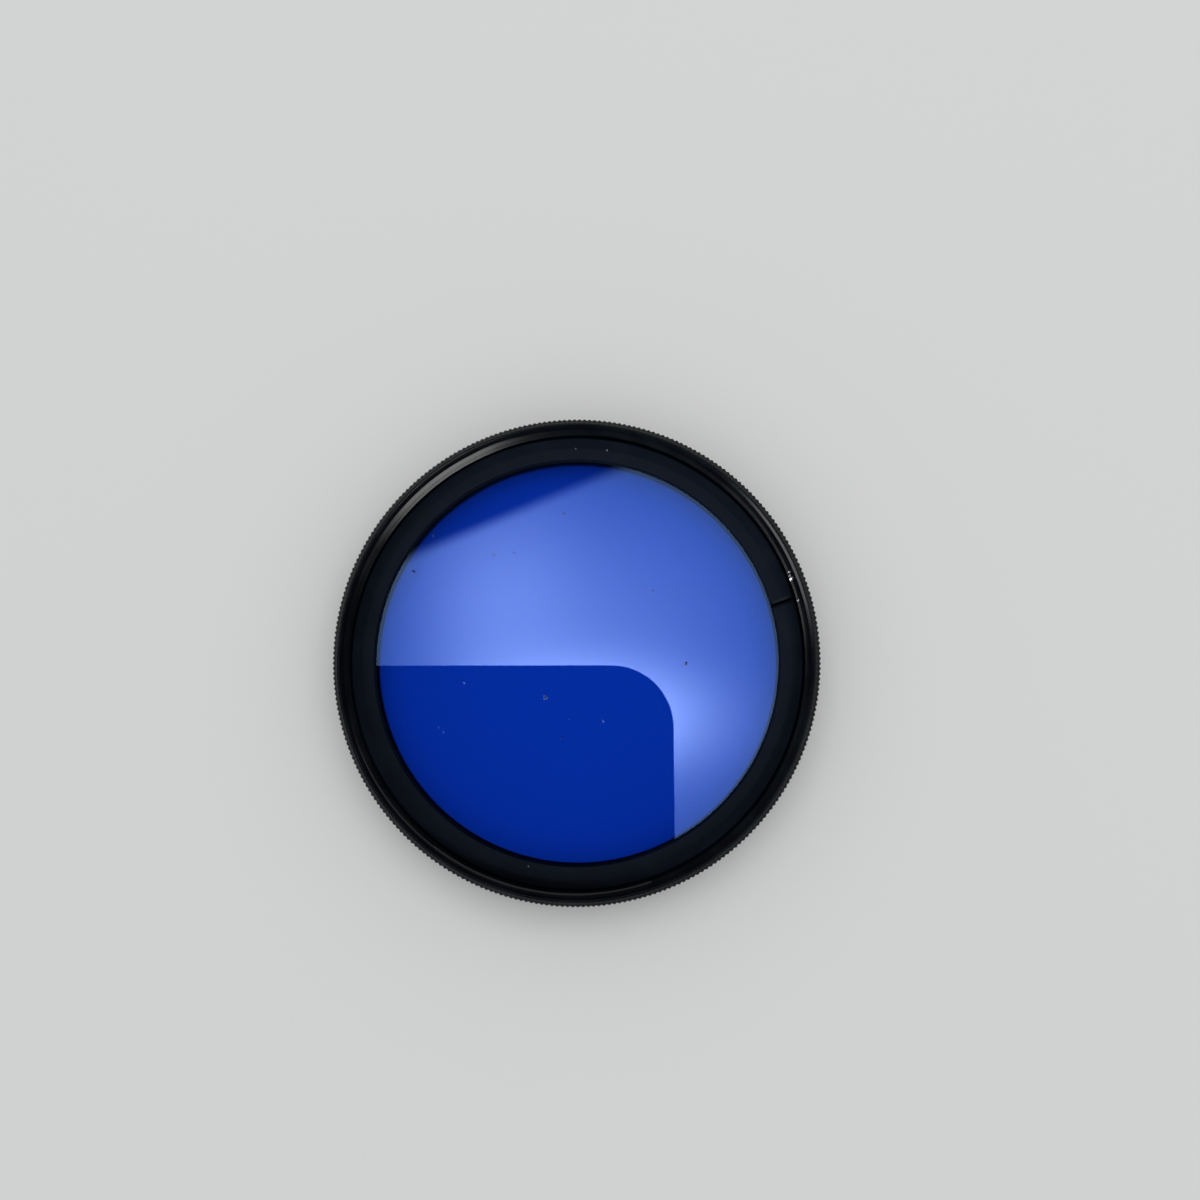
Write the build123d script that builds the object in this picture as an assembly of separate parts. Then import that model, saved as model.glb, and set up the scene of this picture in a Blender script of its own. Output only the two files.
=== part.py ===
"""A screw-in color conversion filter for a 55 mm filter thread, in millimetres.

A turned ring carries a flat blue glass disc on an inner ledge, and a thin split ring that
snaps in over the glass keeps it there. +Z points out of the front, where the female thread
is, and z = 0 is the rear end of the male thread, which the filter rests on. Both threads are
plain cylinders here, the male one at its crests and the female one at its own.
"""

import os
from math import cos, pi, radians, sin, tan

from build123d import *

# Screw thread, the same size in front and behind
thread_radius = 27.5  # over the male crests
thread_pitch = 0.75
crest_depth = 0.541  # depth of a metric female thread for each millimetre of pitch

# Heights of the stack, from the rear end to the front face
rear_recess_depth = 1.0
ledge_thickness = 0.8
glass_thickness = 2.0
retainer_thickness = 0.8
front_recess_depth = 3.2  # from the retaining ring to the front face
rear_thread_length = 2.3

# Rim
rim_wall = 1.12  # from the thread's crests out to the tips of the knurl
rim_edge_chamfer = 0.6
bevel_angle = 45  # degrees from the axis
knurl_count = 298
knurl_depth = 0.14
mouth_flare = 0.3  # the front opening is this much wider than the plain wall below it
counterbore_depth = 0.85  # the wall is plain down to here, where the front thread starts

# Inside of the ring
pocket_wall = 0.4  # the glass pocket is this much inside the female thread
ledge_width = 2.55
rear_wall = 1.5  # under the male thread
shelf_drop = 0.1  # the shelf around the glass lies this far under the glass's front face
undercut_depth = 0.05  # beyond the thread's crests, where the retaining ring snaps in
undercut_headroom = 0.45  # from the retaining ring up to the thread

# Thread ends behind
thread_end_chamfer = 0.35
relief_width = 0.75
relief_depth = 0.45

# Glass
glass_clearance = 0.1  # around the disc
glass_edge_chamfer = 0.15

# Retaining ring
retainer_clearance = 0.35  # around the ring, in its undercut
retainer_width = 3.05
retainer_bevel_width = 1.5  # of the whole inner part, which slopes down to the glass
retainer_lip = 0.6  # height of the steep edge beside the glass
retainer_lip_width = 0.25
retainer_edge_chamfer = 0.3
split_gap = 0.3
split_angle = 15.7  # degrees round from +X
split_slant = 4.0  # degrees away from a straight radial cut

overrun = 1.0  # how far a cutter runs past what it cuts

# Places that follow
ledge_bottom = rear_recess_depth
glass_bottom = ledge_bottom + ledge_thickness
glass_top = glass_bottom + glass_thickness
retainer_top = glass_top + retainer_thickness
undercut_top = retainer_top + undercut_headroom
front_face = retainer_top + front_recess_depth
shoulder = rear_thread_length

front_bore_radius = thread_radius - crest_depth * thread_pitch
pocket_radius = front_bore_radius - pocket_wall
clear_radius = pocket_radius - ledge_width
rear_bore_radius = thread_radius - rear_wall
undercut_radius = thread_radius + undercut_depth
rim_radius = thread_radius + rim_wall
mouth_radius = thread_radius + mouth_flare
relief_radius = thread_radius - relief_depth
glass_radius = pocket_radius - glass_clearance
retainer_radius = undercut_radius - retainer_clearance
retainer_inner_radius = retainer_radius - retainer_width


def turned(points):
    """The solid turned about +Z from a closed outline of (radius, height) points."""
    with BuildPart() as piece:
        with BuildSketch(Plane.XZ):
            with BuildLine():
                Polyline(*points, close=True)
            make_face()
        revolve(axis=Axis.Z)
    return piece.part


def knurled_rim():
    """The rim as a solid bar, with straight V ridges all round and both its edges bevelled.

    The bevels come from a bar that tapers both ways from its middle, with one flat side for
    each ridge, centred on the ridge's tip.
    """
    half_step = pi / knurl_count
    corners = []
    for i in range(2 * knurl_count):
        radius = rim_radius - knurl_depth * (i % 2)
        corners.append((radius * cos(i * half_step), radius * sin(i * half_step)))
    with BuildPart() as ridges:
        with BuildSketch(Plane.XY.offset(shoulder)):
            Polygon(*corners, align=None)
        extrude(amount=front_face - shoulder)

    half_height = (front_face - shoulder) / 2
    middle = Plane.XY.offset(shoulder + half_height)
    land_radius = rim_radius - rim_edge_chamfer
    widest_radius = land_radius + half_height * tan(radians(bevel_angle))
    with BuildPart() as double_taper:
        with BuildSketch(middle):
            half_turn = 180 / knurl_count
            RegularPolygon(widest_radius, knurl_count, major_radius=False, rotation=half_turn)
        extrude(amount=half_height, taper=bevel_angle)
        mirror(about=middle)
    return ridges.part & double_taper.part


def filter_ring():
    """The turned mount, one piece from its rear thread to its knurled front rim."""
    rear_thread = turned(
        [
            (0, 0),
            (thread_radius - thread_end_chamfer, 0),
            (thread_radius, thread_end_chamfer),
            (thread_radius, shoulder - relief_width),
            (relief_radius, shoulder - relief_width + relief_depth),
            (relief_radius, shoulder),
            (0, shoulder),
        ]
    )
    hollow = turned(
        [
            (0, -overrun),
            (rear_bore_radius, -overrun),
            (rear_bore_radius, ledge_bottom),
            (clear_radius, ledge_bottom),
            (clear_radius, glass_bottom),
            (pocket_radius, glass_bottom),
            (pocket_radius, glass_top - shelf_drop),
            (undercut_radius, glass_top - shelf_drop),
            (undercut_radius, undercut_top),
            (front_bore_radius, undercut_top),
            (front_bore_radius, front_face - counterbore_depth),
            (thread_radius, front_face - counterbore_depth),
            (thread_radius, front_face - mouth_flare),
            (mouth_radius, front_face),
            (mouth_radius, front_face + overrun),
            (0, front_face + overrun),
        ]
    )
    return knurled_rim() + rear_thread - hollow


def filter_glass():
    """The flat glass disc, with its edges broken, lying on the ledge."""
    disc = turned(
        [
            (0, glass_bottom),
            (glass_radius - glass_edge_chamfer, glass_bottom),
            (glass_radius, glass_bottom + glass_edge_chamfer),
            (glass_radius, glass_top - glass_edge_chamfer),
            (glass_radius - glass_edge_chamfer, glass_top),
            (0, glass_top),
        ]
    )
    return disc


def retaining_ring():
    """The split ring on top of the glass, sloping gently and then steeply at its inner edge."""
    ring = turned(
        [
            (retainer_inner_radius, glass_top),
            (retainer_radius, glass_top),
            (retainer_radius, retainer_top - retainer_edge_chamfer),
            (retainer_radius - retainer_edge_chamfer, retainer_top),
            (retainer_inner_radius + retainer_bevel_width, retainer_top),
            (retainer_inner_radius + retainer_lip_width, glass_top + retainer_lip),
        ]
    )
    middle_radius = retainer_inner_radius + retainer_width / 2
    cutter = Rot(0, 0, split_angle) * Pos(middle_radius, 0, glass_top) * Rot(0, 0, split_slant)
    saw = cutter * Box(2 * retainer_width, split_gap, 2 * retainer_thickness)
    return ring - saw


pieces = {
    "filter_ring": filter_ring(),
    "filter_glass": filter_glass(),
    "retaining_ring": retaining_ring(),
}

os.makedirs("parts", exist_ok=True)
for name, piece in pieces.items():
    export_step(piece, f"parts/{name}.step")
    print(name, "volume", round(piece.volume, 1), "mm3")
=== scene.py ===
"""The looks of a screw-in color conversion filter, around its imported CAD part, in metres."""

import math

import bmesh
import bpy
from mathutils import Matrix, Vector


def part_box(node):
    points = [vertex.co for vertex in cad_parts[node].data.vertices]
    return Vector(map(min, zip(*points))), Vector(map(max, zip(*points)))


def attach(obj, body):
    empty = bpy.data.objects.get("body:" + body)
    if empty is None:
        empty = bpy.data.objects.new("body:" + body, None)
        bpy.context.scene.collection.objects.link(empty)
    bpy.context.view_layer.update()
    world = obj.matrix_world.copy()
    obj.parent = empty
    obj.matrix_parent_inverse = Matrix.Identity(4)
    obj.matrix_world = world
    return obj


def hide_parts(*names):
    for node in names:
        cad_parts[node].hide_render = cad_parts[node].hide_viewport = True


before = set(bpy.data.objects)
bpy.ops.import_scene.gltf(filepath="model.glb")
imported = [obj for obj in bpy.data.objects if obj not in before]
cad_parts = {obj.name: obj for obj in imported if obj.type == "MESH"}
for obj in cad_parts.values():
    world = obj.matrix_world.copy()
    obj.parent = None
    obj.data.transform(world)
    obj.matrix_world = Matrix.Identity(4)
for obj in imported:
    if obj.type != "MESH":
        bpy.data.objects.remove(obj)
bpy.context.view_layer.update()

# Filter ring
# The mount is one turned piece of aluminium, anodised black. It has a fine straight knurl
# around its rim, a female thread in front of the glass and a male thread behind it.

rim_low, rim_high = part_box("filter_ring")
rim_radius = rim_high.x
front_face = rim_high.z

thread_radius = 0.0275
thread_pitch = 0.00075
thread_depth = 0.541 * thread_pitch
thread_start = math.radians(257)  # where the grooves begin, round from +X
flank = 5 / 16  # shares of the pitch: one side of a groove, and the flats at its bottom
male_flat = 1 / 4
female_flat = 1 / 8

rear_recess_depth = 0.001
ledge_thickness = 0.0008
glass_thickness = 0.002
retainer_thickness = 0.0008
rear_thread_length = 0.0023

edge_bevel = 0.0006
knurl_count = 298
knurl_depth = 0.00014
knurl_tip_width = 0.0001
knurl_valley_width = 0.00007
bevel_groove_depth = 0.00016  # below the rim's bevels
mouth_flare = 0.0003
counterbore_depth = 0.00085
pocket_wall = 0.0004
ledge_width = 0.00255
rear_wall = 0.0015
shelf_drop = 0.0001
undercut_depth = 0.00005
undercut_headroom = 0.00045
thread_end_bevel = 0.00035
relief_width = 0.00075
relief_depth = 0.00045
edge_ease = 0.00004  # how far back from a corner its rounding starts
flat_ends = 0.00008  # how far back the flat face beside it ends
sharp_angle = math.radians(28)  # edges more bent than this are shaded sharp

ledge_bottom = rear_recess_depth
glass_bottom = ledge_bottom + ledge_thickness
glass_top = glass_bottom + glass_thickness
retainer_top = glass_top + retainer_thickness
undercut_top = retainer_top + undercut_headroom
shoulder = rear_thread_length

bore_radius = thread_radius - thread_depth
pocket_radius = bore_radius - pocket_wall
clear_radius = pocket_radius - ledge_width
rear_bore_radius = thread_radius - rear_wall
undercut_radius = thread_radius + undercut_depth
mouth_radius = thread_radius + mouth_flare
relief_radius = thread_radius - relief_depth
land_radius = rim_radius - edge_bevel


def knurl_columns():
    """Angle and radius of the knurl's edges all round: two at each tip, two in each valley."""
    step = 2 * math.pi / knurl_count
    half_tip = knurl_tip_width / 2 / rim_radius
    half_valley = knurl_valley_width / 2 / rim_radius
    columns = []
    for ridge in range(knurl_count):
        tip = ridge * step
        valley = tip + step / 2
        columns.append((tip - half_tip, rim_radius))
        columns.append((tip + half_tip, rim_radius))
        columns.append((valley - half_valley, rim_radius - knurl_depth))
        columns.append((valley + half_valley, rim_radius - knurl_depth))
    first_angle, first_radius = columns[0]
    columns.append((first_angle + 2 * math.pi, first_radius))
    return columns


fine_columns = knurl_columns()
coarse_angles = [angle for angle, radius in fine_columns[::2]]


def on_axis(radius, angle, height):
    """The point at this radius, angle round the axis and height."""
    return Vector((radius * math.cos(angle), radius * math.sin(angle), height))


def eased(corners):
    """An outline of (radius, height) corners, with each inner one rounded a little.

    A point just outside each rounding keeps the faces beside it shaded flat.
    """
    points = [Vector(corners[0])]
    for before, corner, after in zip(corners, corners[1:], corners[2:]):
        corner = Vector(corner)
        back = (Vector(before) - corner).normalized()
        onward = (Vector(after) - corner).normalized()
        enter = corner + back * edge_ease
        leave = corner + onward * edge_ease
        points += [corner + back * flat_ends, enter]
        points += [corner + (enter + leave - 2 * corner) / 4]
        points += [leave, corner + onward * flat_ends]
    return points + [Vector(corners[-1])]


def groove_depth(height, angle, flat_at_bottom):
    """How deep the right-hand thread's groove is at this place, from its crests."""
    turns = height / thread_pitch - (angle - thread_start) / (2 * math.pi)
    off_centre = abs(turns % 1 - 0.5)
    share = 1 - (off_centre - flat_at_bottom / 2) / flank
    return thread_depth * min(max(share, 0), 1)


def thread_rows(low, high, flat_at_bottom, wall_at):
    """Rows of points that follow the thread's turns from low to high, cut off at both ends."""
    half_bottom = flat_at_bottom / 2
    half_top = half_bottom + flank
    nudge = 0.03  # keeps the crest beside a groove shaded flat
    marks = [0.0, 0.5, 0.5 - half_bottom, 0.5 + half_bottom, 0.5 - half_bottom / 3]
    marks += [0.5 - half_top, 0.5 - half_top - nudge, 0.5 + half_top, 0.5 + half_top + nudge]
    marks += [0.5 - (half_bottom + half_top) / 2, 0.5 + (half_bottom + half_top) / 2]
    marks = sorted(mark % 1 for mark in marks)
    turns = math.ceil((high - low) / thread_pitch) + 2
    start_turn = (coarse_angles[0] - thread_start) / (2 * math.pi)
    base = math.floor(low / thread_pitch - start_turn) + start_turn
    rows = []
    for turn in range(-1, turns):
        for mark in marks:
            row = []
            for angle in coarse_angles:
                round_by = (angle - coarse_angles[0]) / (2 * math.pi)
                height = (base + turn + mark + round_by) * thread_pitch
                height = min(max(height, low), high)
                depth = groove_depth(height, angle, flat_at_bottom)
                row.append(on_axis(wall_at(height, depth), angle, height))
            rows.append(row)
    return rows


def male_wall(height, depth):
    """Radius of the rear thread, inside its bevelled end and its relief."""
    end = thread_radius - thread_end_bevel + height
    relief = thread_radius - (height - (shoulder - relief_width))
    return max(min(thread_radius - depth, end, relief), min(relief_radius, end))


def female_wall(height, depth):
    """Radius of the front thread."""
    return bore_radius + depth


def plain_rows(points):
    """A row of points round the axis for each (radius, height) point."""
    return [[on_axis(radius, angle, height) for angle in coarse_angles] for radius, height in points]


def knurl_rows():
    """The rim's rows from its rear bevel to its front one, with a column for each knurl edge.

    The knurl's valleys run on across both bevels and fade out at the flat faces.
    """
    fade = ((0, 0), (0.15, 0.35), (0.5, 0.9), (1, 1))  # how far out, and how deep there
    insets = []
    for share, sunk in fade:
        insets.append((share * edge_bevel, sunk * bevel_groove_depth))
    halves = []
    for face, inward in ((shoulder, 1), (front_face, -1)):
        rows = []
        for inset, sunk in insets:
            row = []
            for angle, column_radius in fine_columns:
                radius = min(land_radius + inset, column_radius)
                depth = sunk if column_radius < rim_radius else 0
                row.append(on_axis(radius, angle, face + inward * (radius - land_radius + depth)))
            rows.append(row)
        halves.append(rows)
    rear, front = halves
    return rear + front[::-1]


def welded_mesh(name, grids, strips=()):
    """A closed mesh from grids of rows, and from strips that join a fine row to a coarse one."""
    shape = bmesh.new()
    for grid in grids:
        made = [[shape.verts.new(point) for point in row] for row in grid]
        for lower, upper in zip(made, made[1:]):
            for i in range(len(lower) - 1):
                shape.faces.new((lower[i], lower[i + 1], upper[i + 1], upper[i]))
    for coarse, fine in strips:
        coarse = [shape.verts.new(point) for point in coarse]
        fine = [shape.verts.new(point) for point in fine]
        for i in range(len(coarse) - 1):
            j = 2 * i
            shape.faces.new((coarse[i], coarse[i + 1], fine[j + 2], fine[j + 1], fine[j]))
    weld_distance = 1e-7
    bmesh.ops.remove_doubles(shape, verts=shape.verts, dist=weld_distance)
    bmesh.ops.recalc_face_normals(shape, faces=shape.faces)
    for face in shape.faces:
        face.smooth = True
    mesh = bpy.data.meshes.new(name)
    shape.to_mesh(mesh)
    shape.free()
    mesh.set_sharp_from_angle(angle=sharp_angle)
    piece = bpy.data.objects.new(name, mesh)
    bpy.context.scene.collection.objects.link(piece)
    return piece


def ring_mesh():
    """The whole mount: one closed loop of rows around its section."""
    relief_end = shoulder - relief_width + relief_depth
    rear_end = eased(
        [
            (clear_radius, ledge_bottom),
            (rear_bore_radius, ledge_bottom),
            (rear_bore_radius, 0),
            (thread_radius - thread_end_bevel, 0),
        ]
    )
    male = thread_rows(0, relief_end, male_flat, male_wall)
    shoulder_rows = [(relief_radius, shoulder), (land_radius - edge_ease, shoulder)]
    land = eased(
        [
            (land_radius - edge_ease, front_face),
            (mouth_radius, front_face),
            (mouth_radius - 2 * edge_ease, front_face - 2 * edge_ease),
        ]
    )[:-1]
    mouth_floor = front_face - counterbore_depth
    plain_wall = eased(
        [
            (thread_radius, mouth_floor),
            (thread_radius, front_face - mouth_flare),
            (mouth_radius, front_face),
        ]
    )[:-1]
    female = thread_rows(undercut_top, mouth_floor - edge_ease, female_flat, female_wall)
    female += plain_rows(plain_wall)
    inside = eased(
        [
            (undercut_radius, undercut_top),
            (undercut_radius, glass_top - shelf_drop),
            (pocket_radius, glass_top - shelf_drop),
            (pocket_radius, glass_bottom),
            (clear_radius, glass_bottom),
            (clear_radius, ledge_bottom),
        ]
    )
    rear = plain_rows(rear_end) + male + plain_rows(shoulder_rows)
    front = plain_rows(land) + female[::-1] + plain_rows(inside)
    rim = knurl_rows()
    strips = [(rear[-1], rim[0]), (front[0], rim[-1])]
    return welded_mesh("ring_with_threads", [rear, rim, front], strips)


class Field:
    """An output socket of a material. Arithmetic on fields adds the Math nodes for it."""

    def __init__(self, tree, socket=None):
        self.tree = tree
        self.socket = socket

    def node(self, kind, settings, sockets, output=0):
        """A new node of this kind: its settings are made first, then its sockets."""
        made = self.tree.nodes.new(kind)
        for name, value in settings.items():
            setattr(made, name, value)
        for key, value in sockets.items():
            if isinstance(value, Field):
                self.tree.links.new(value.socket, made.inputs[key])
            else:
                made.inputs[key].default_value = value
        return Field(self.tree, made.outputs[output])

    def other(self, output):
        """Another output of the same node."""
        return Field(self.tree, self.socket.node.outputs[output])

    def math(self, operation, *values):
        return self.node("ShaderNodeMath", {"operation": operation}, dict(enumerate(values)))

    def __add__(self, other):
        return self.math("ADD", self, other)

    __radd__ = __add__

    def __sub__(self, other):
        return self.math("SUBTRACT", self, other)

    def __rsub__(self, other):
        return self.math("SUBTRACT", other, self)

    def __mul__(self, other):
        return self.math("MULTIPLY", self, other)

    __rmul__ = __mul__

    def __truediv__(self, other):
        return self.math("DIVIDE", self, other)

    def root(self):
        return self.math("SQRT", self)

    def above(self, low, high):
        """0 below low, 1 above high, and a soft step between."""
        ends = {"Value": self, "From Min": low, "From Max": high}
        return self.node("ShaderNodeMapRange", {"interpolation_type": "SMOOTHSTEP"}, ends)

    def blend(self, colour_at_0, colour_at_1):
        """The colour between these two that this field picks."""
        sockets = {0: self, 6: colour_at_0, 7: colour_at_1}
        return self.node("ShaderNodeMix", {"data_type": "RGBA"}, sockets, output=2)

    def place(self):
        """Where a point of the piece is, in millimetres: its x, y, height and radius."""
        object_place = self.node("ShaderNodeTexCoord", {}, {}, output=3)
        split = self.node("ShaderNodeSeparateXYZ", {}, {0: object_place})
        x = split * 1000
        y = split.other(1) * 1000
        height = split.other(2) * 1000
        return x, y, height, (x * x + y * y).root()

    def noise(self, scale, detail=2.0):
        """Noise through the piece, with about this many cells to a metre."""
        object_place = self.node("ShaderNodeTexCoord", {}, {}, output=3)
        sockets = {"Vector": object_place, "Scale": scale, "Detail": detail}
        return self.node("ShaderNodeTexNoise", {}, sockets)

    def lines(self, scale):
        """Noise that changes only along this field, as a tool leaves on a turned face."""
        return self.node("ShaderNodeTexNoise", {"noise_dimensions": "1D"}, {"W": self, "Scale": scale})

    def bump(self):
        """A normal for a machined surface with this faint height on it."""
        sockets = {"Height": self, "Strength": 0.35, "Distance": 0.00001}
        return self.node("ShaderNodeBump", {}, sockets)


def shaded(name, constants):
    """A new material with a Principled shader: the material, its shader, and a field to start from."""
    material = bpy.data.materials.new(name)
    material.use_nodes = True
    shader = material.node_tree.nodes["Principled BSDF"]
    for socket, value in constants.items():
        shader.inputs[socket].default_value = value
    return material, shader, Field(material.node_tree)


def drive(shader, fields):
    """Links fields to sockets of a shader."""
    for socket, field in fields.items():
        field.tree.links.new(field.socket, shader.inputs[socket])


def spot(x, y, degrees, at_radius, size):
    """1 in one round spot, as seen from above, and 0 around it. Lengths are in millimetres."""
    angle = math.radians(degrees)
    dx = x - at_radius * math.cos(angle)
    dy = y - at_radius * math.sin(angle)
    return 1 - (dx * dx + dy * dy).root().above(size * 0.7, size * 1.3)


def black_anodised():
    """Satin black, rubbed a little grey on the knurl's tips, with bare chips in the thread."""
    material, shader, start = shaded("black_anodised", {"IOR": 1.45, "Specular IOR Level": 0.1})
    x, y, height, radius = start.place()
    black = (0.0008, 0.0011, 0.0017, 1)
    worn_black = (0.0016, 0.0022, 0.003, 1)
    rubbed = (0.05, 0.053, 0.055, 1)
    bare = (0.3, 0.33, 0.36, 1)

    patches = start.noise(240, detail=3).above(0.35, 0.7)
    grain = start.noise(9000, detail=2)
    turning = (radius + height).lines(3.2)
    fine_turning = (radius + height).lines(14)

    rim_mm = rim_radius * 1000
    tips = radius.above(rim_mm - 0.05, rim_mm) * start.noise(900, detail=4).above(0.5, 0.62)

    crest_mm = bore_radius * 1000
    chips = spot(x, y, 22.2, crest_mm + 0.12, 0.08)
    chips = chips + spot(x, y, 21.4, crest_mm + 0.08, 0.04)
    chips = chips + spot(x, y, 20.4, crest_mm + 0.04, 0.16)
    chips = chips + spot(x, y, 14.8, crest_mm + 0.01, 0.05)
    in_front_thread = height.above(undercut_top * 1000 - 0.05, undercut_top * 1000)
    ragged = start.noise(4000, detail=3).above(0.36, 0.46)
    chips = chips * in_front_thread * ragged

    colour = tips.blend(patches.blend(black, worn_black), rubbed)
    roughness = 0.16 + patches * 0.04 + grain * 0.06
    normal = (turning * 0.6 + fine_turning * 0.4 + grain * 0.25).bump()
    drive(
        shader,
        {
            "Base Color": chips.blend(colour, bare),
            "Metallic": chips,
            "Roughness": roughness,
            "Normal": normal,
        },
    )
    return material


anodised = black_anodised()
ring = ring_mesh()
ring.data.materials.append(anodised)
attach(ring, "root")
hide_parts("filter_ring")

# Filter glass
# A flat disc of deep blue optical glass, polished on both faces with its edges broken. It
# lies on the ring's inner ledge.

glass_clearance = 0.0001
glass_edge_bevel = 0.00015
glass_radius = pocket_radius - glass_clearance
seat_gap = 0.00001  # keeps the polished faces off the metal that they lie against


def glass_mesh():
    """The disc, as rows from the middle of its rear face to the middle of its front face."""
    low = glass_bottom + seat_gap
    high = glass_top - seat_gap
    flat_radius = glass_radius - glass_edge_bevel
    middle = flat_radius / 2
    edge = eased(
        [
            (middle, low),
            (flat_radius, low),
            (glass_radius, low + glass_edge_bevel),
            (glass_radius, high - glass_edge_bevel),
            (flat_radius, high),
            (middle, high),
        ]
    )
    rows = plain_rows([(0, low)] + edge + [(0, high)])
    return welded_mesh("blue_glass_disc", [rows])


def blue_glass():
    """Deep blue glass with a little dust on it, and dull black painted shade where the retaining ring
    covers it, which keeps the ring's sawn gap dark.
    """
    blue = (0.05, 0.21, 0.77, 1)
    gap_shade_black = (0.002, 0.002, 0.003, 1)
    dusty = (0.02, 0.022, 0.03, 1)
    mirror_tint = (0.66, 0.77, 1.0, 1)
    once_through = (blue[0] ** 0.5, blue[1] ** 0.5, blue[2] ** 0.5, 1)
    material, shader, start = shaded(
        "blue_glass",
        {"Transmission Weight": 1.0, "IOR": 1.52, "Specular Tint": mirror_tint},
    )
    x, y, height, radius = start.place()

    ledge_edge = clear_radius * 1000
    under_retainer = radius.above(ledge_edge, ledge_edge + 0.05)
    specks = start.noise(900, detail=1).above(0.79, 0.83)
    specks = specks + spot(x, y, 229.8, 5.88, 0.2)
    specks = specks.math("MINIMUM", specks, 1.0)
    drive(shader, {"Base Color": specks.blend(blue, dusty), "Roughness": specks * 0.6})
    tree = material.node_tree
    clear = Field(tree, shader.outputs[0])
    lights_through = start.node("ShaderNodeBsdfTransparent", {}, {"Color": once_through})
    path = start.node("ShaderNodeLightPath", {}, {}, output=1)
    lamp_ray = path.math("MAXIMUM", path, path.other(2))
    clear = start.node("ShaderNodeMixShader", {}, {0: lamp_ray, 1: clear, 2: lights_through})
    # Dull black under the retaining ring: painted shade, so that the ring's sawn gap looks dark.
    gap_shade = start.node("ShaderNodeBsdfDiffuse", {}, {"Color": gap_shade_black})
    whole = start.node("ShaderNodeMixShader", {}, {0: under_retainer, 1: clear, 2: gap_shade})
    tree.links.new(whole.socket, tree.nodes["Material Output"].inputs["Surface"])
    return material


glass = glass_mesh()
glass.data.materials.append(blue_glass())
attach(glass, "root")
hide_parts("filter_glass")

# Retaining ring
# A thin flat ring of aluminium, anodised matt black and sawn through at one place, so that
# it can be squeezed in over the glass. Inward it slopes a little, and then steeply.

retainer_clearance = 0.00035
retainer_width = 0.00305
retainer_bevel_width = 0.0015
retainer_lip = 0.0006
retainer_lip_width = 0.00025
retainer_edge_bevel = 0.0003
split_gap = 0.0003
split_angle = math.radians(15.7)
split_slant = math.radians(4)
retainer_steps = 420
retainer_radius = undercut_radius - retainer_clearance
retainer_inner_radius = retainer_radius - retainer_width


def retainer_mesh():
    """The split ring: rows along its length around its section, with flat sawn ends."""
    section = eased(
        [
            (retainer_inner_radius, glass_top),
            (retainer_radius, glass_top),
            (retainer_radius, retainer_top - retainer_edge_bevel),
            (retainer_radius - retainer_edge_bevel, retainer_top),
            (retainer_inner_radius + retainer_bevel_width, retainer_top),
            (retainer_inner_radius + retainer_lip_width, glass_top + retainer_lip),
            (retainer_inner_radius, glass_top),
        ]
    )
    middle_radius = retainer_inner_radius + retainer_width / 2
    rows = []
    for radius, height in section:
        slant = (radius - middle_radius) * math.tan(split_slant) / radius
        half_gap = split_gap / 2 / radius
        first = split_angle + slant + half_gap
        last = split_angle + slant - half_gap + 2 * math.pi
        step = (last - first) / retainer_steps
        rows.append([on_axis(radius, first + i * step, height) for i in range(retainer_steps + 1)])
    piece = welded_mesh("split_retaining_ring", [rows])
    shape = bmesh.new()
    shape.from_mesh(piece.data)
    bmesh.ops.holes_fill(shape, edges=shape.edges, sides=len(section))
    bmesh.ops.recalc_face_normals(shape, faces=shape.faces)
    shape.to_mesh(piece.data)
    shape.free()
    return piece


def black_retainer():
    """Matt black with the lathe's rings showing, and worn specks along its sloping edge. Its blue tint
    is painted light from the blue glass.
    """
    material, shader, start = shaded("black_retainer", {"IOR": 1.45, "Specular IOR Level": 0.06})
    x, y, height, radius = start.place()
    # The blue in both blacks is painted light, the glow that the blue glass throws on the retaining
    # ring.
    black = (0.0009, 0.0019, 0.0044, 1)
    greyed = (0.0015, 0.003, 0.0065, 1)
    bare = (0.16, 0.17, 0.18, 1)
    patches = start.noise(300, detail=3).above(0.4, 0.7)
    turning = radius.lines(2.6)
    grain = start.noise(7000, detail=2)

    slope_edge = (retainer_inner_radius + retainer_bevel_width) * 1000
    specks = spot(x, y, 90.5, slope_edge, 0.06)
    specks = specks + spot(x, y, 82, slope_edge + 0.05, 0.09)
    specks = specks + spot(x, y, 257, slope_edge - 0.7, 0.07)

    drive(
        shader,
        {
            "Base Color": specks.blend((patches * turning).blend(black, greyed), bare),
            "Metallic": specks,
            "Roughness": 0.46 + grain * 0.12,
            "Normal": (turning + grain * 0.3).bump(),
        },
    )
    return material


retainer = retainer_mesh()
retainer.data.materials.append(black_retainer())
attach(retainer, "root")
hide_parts("retaining_ring")

# Camera
# It looks nearly straight down from above the ring, tilted a little towards its far side.

image_size = 1200
focal_pixels = 1203
sensor_width = 36.0
camera_place = Vector((0.00455, -0.00778, 0.14822))
camera_turn = (0.10354, 0.0124, 0.00129)

camera_data = bpy.data.cameras.new("camera")
camera_data.sensor_width = sensor_width
camera_data.lens = sensor_width * focal_pixels / image_size
camera_data.clip_start = 0.005
camera = bpy.data.objects.new("camera", camera_data)
camera.location = camera_place
camera.rotation_euler = camera_turn
bpy.context.scene.collection.objects.link(camera)
bpy.context.scene.camera = camera

# Floor
# A plain pale surface, wide enough to fill every view.

floor_half = 3.0
floor_colour = (0.71, 0.71, 0.7, 1)


def flat_sheet(name, corners):
    """A flat mesh object from its corners."""
    mesh = bpy.data.meshes.new(name)
    mesh.from_pydata(corners, [], [list(range(len(corners)))])
    sheet = bpy.data.objects.new(name, mesh)
    bpy.context.scene.collection.objects.link(sheet)
    return sheet


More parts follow.
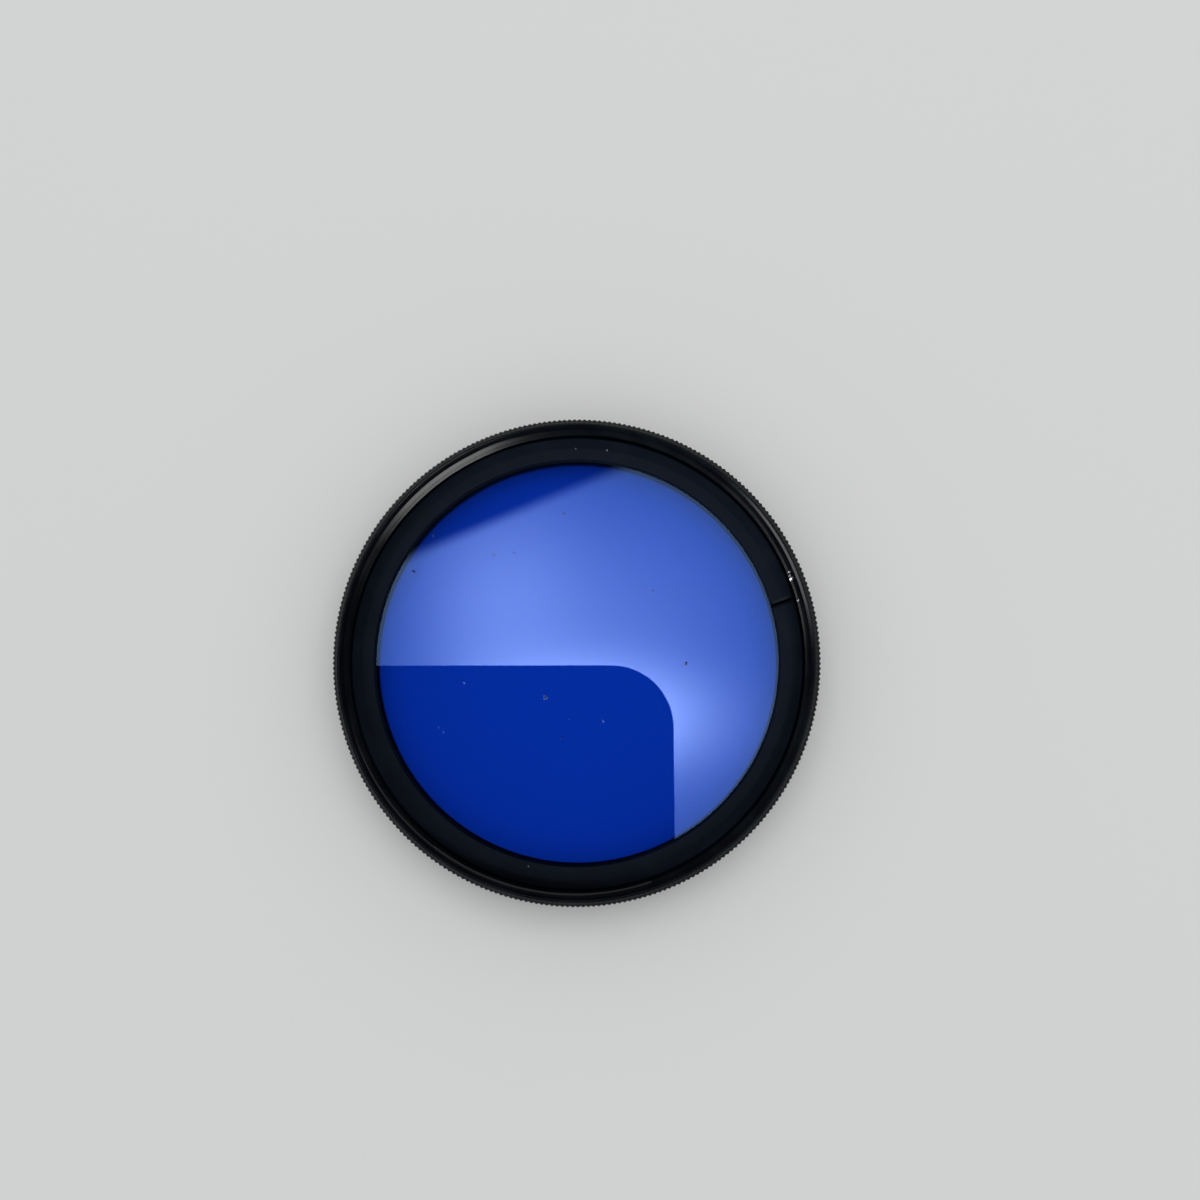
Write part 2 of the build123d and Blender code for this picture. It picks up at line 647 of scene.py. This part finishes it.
floor = flat_sheet(
    "stage_floor",
    [
        (-floor_half, -floor_half, 0),
        (floor_half, -floor_half, 0),
        (floor_half, floor_half, 0),
        (-floor_half, floor_half, 0),
    ],
)
floor_finish = {"Base Color": floor_colour, "Roughness": 0.9, "Specular IOR Level": 0.1}
floor_material = shaded("pale_floor", floor_finish)[0]
floor.data.materials.append(floor_material)

# Light
# An even surround and soft lamps overhead light the filter, and two softboxes edge the metal.
# The glass mirrors a panel of light above it, and a dark card in front of that.

world = bpy.data.worlds.new("surround")
bpy.context.scene.world = world
world.use_nodes = True
surround = world.node_tree.nodes["Background"]
surround_light = (0.68, 0.686, 0.7, 1)
mirrored_light = (0.018, 0.019, 0.021, 1)  # dimmer, where the metal and glass mirror the room
mirrored = Field(world.node_tree).node("ShaderNodeLightPath", {}, {}, output=3)
drive(surround, {"Color": mirrored.blend(surround_light, mirrored_light)})


def soft_lamp(name, place, width, height, watts):
    """A rectangular lamp at a place, turned to shine at the filter."""
    data = bpy.data.lights.new(name, "AREA")
    data.shape = "RECTANGLE"
    data.size = width
    data.size_y = height
    data.energy = watts
    lamp = bpy.data.objects.new(name, data)
    lamp.location = place
    lamp.rotation_euler = (-Vector(place)).to_track_quat("-Z", "Y").to_euler()
    lamp.visible_camera = False
    bpy.context.scene.collection.objects.link(lamp)
    return lamp


def light_only(name, lights, pieces):
    """Has these lights fall on these pieces and on nothing else."""
    lit = bpy.data.collections.new(name)
    for piece in pieces:
        lit.objects.link(piece)
    for light in lights:
        light.light_linking.receiver_collection = lit


overhead_place = (0.068, 0.244, 0.8)
overhead_width = 0.9
overhead_depth = 0.6
overhead = soft_lamp("overhead", overhead_place, overhead_width, overhead_depth, 2.1)
overhead.visible_glossy = False
ceiling = soft_lamp("ceiling_glow", overhead_place, overhead_width, overhead_depth, 5.6)
ceiling.rotation_euler = (0, 0, math.radians(-25))
ceiling.visible_diffuse = False
light_only("lit_by_ceiling", [ceiling], [ring])
left_softbox = soft_lamp("left_softbox", (-0.479, -0.203, 0.3), 0.32, 0.48, 7.7)
right_softbox = soft_lamp("lower_right_softbox", (0.253, -0.332, 0.432), 0.233, 0.233, 4.4)
light_only("lit_by_softboxes", [left_softbox, right_softbox], [ring, retainer])


def only_mirrored(sheet):
    """A sheet that shows in glossy surfaces and nowhere else."""
    sheet.visible_camera = False
    sheet.visible_diffuse = False
    sheet.visible_shadow = False


panel_height = 0.45
panel_left = -0.125
panel_right = 0.1
panel_near = -0.09
panel_far = 0.14
panel = flat_sheet(
    "stage_light_panel",
    [
        (panel_left, panel_near, panel_height),
        (panel_left, panel_far, panel_height),
        (panel_right, panel_far, panel_height),
        (panel_right, panel_near, panel_height),
    ],
)


def panel_glow():
    """Soft white clouds on the panel's bluer light, which ends along a slanting line."""
    strength = 20
    blue_light = (0.024, 0.054, 0.098, 1)
    cloud_light = (0.749, 0.824, 0.925, 1)
    no_light = (0.001, 0.002, 0.005, 1)
    edge_x = -99.6  # a point on the slanting line, in millimetres
    edge_y = 73.5
    edge_slope = 0.424
    material = bpy.data.materials.new("panel_glow")
    material.use_nodes = True
    tree = material.node_tree
    tree.nodes.remove(tree.nodes["Principled BSDF"])
    start = Field(tree)
    x, y, height, radius = start.place()

    def cloud(at_x, at_y, reach_x, reach_y):
        """1 at this place on the panel, fading out around it. Lengths are in millimetres."""
        dx = (x - at_x) / reach_x
        dy = (y - at_y) / reach_y
        return start.math("EXPONENT", (dx * dx + dy * dy) * -1)

    clouds = 0.195 * cloud(-54, 52, 40, 53) + 0.875 * cloud(-14, -5, 51, 23)
    clouds = clouds + 0.185 * cloud(-3, 20, 76, 81)
    beyond_edge = (y - edge_y) - (x - edge_x) * edge_slope
    glow = beyond_edge.above(-4, 5).blend(clouds.blend(blue_light, cloud_light), no_light)
    light = start.node("ShaderNodeEmission", {}, {"Color": glow, "Strength": strength})
    tree.links.new(light.socket, tree.nodes["Material Output"].inputs["Surface"])
    return material


panel.data.materials.append(panel_glow())
only_mirrored(panel)
light_only("lit_by_panel", [panel], [glass])

card_right = 0.01405
card_top = 0.01465
card_length = 0.15
card_corner = 0.015
card_behind = 0.0015
corner_steps = 24


def card_corners():
    """The card's outline in the camera's own plane: square but for one round corner."""
    corners = [(-card_length, card_top)]
    for i in range(corner_steps + 1):
        angle = math.radians(90 - 90 * i / corner_steps)
        x = card_right - card_corner + card_corner * math.cos(angle)
        y = card_top - card_corner + card_corner * math.sin(angle)
        corners.append((x, y))
    corners.append((card_right, -card_length))
    corners.append((-card_length, -card_length))
    return [(x, y, card_behind) for x, y in corners]


card = flat_sheet("stage_dark_card", card_corners())
card.location = camera_place
card.rotation_euler = camera.rotation_euler
card_black = (0.002, 0.002, 0.003, 1)
card_finish = {"Base Color": card_black, "Roughness": 0.9, "Specular IOR Level": 0.0}
card_material = shaded("dark_card", card_finish)[0]
card.data.materials.append(card_material)
only_mirrored(card)

bpy.context.scene.view_settings.view_transform = "Standard"
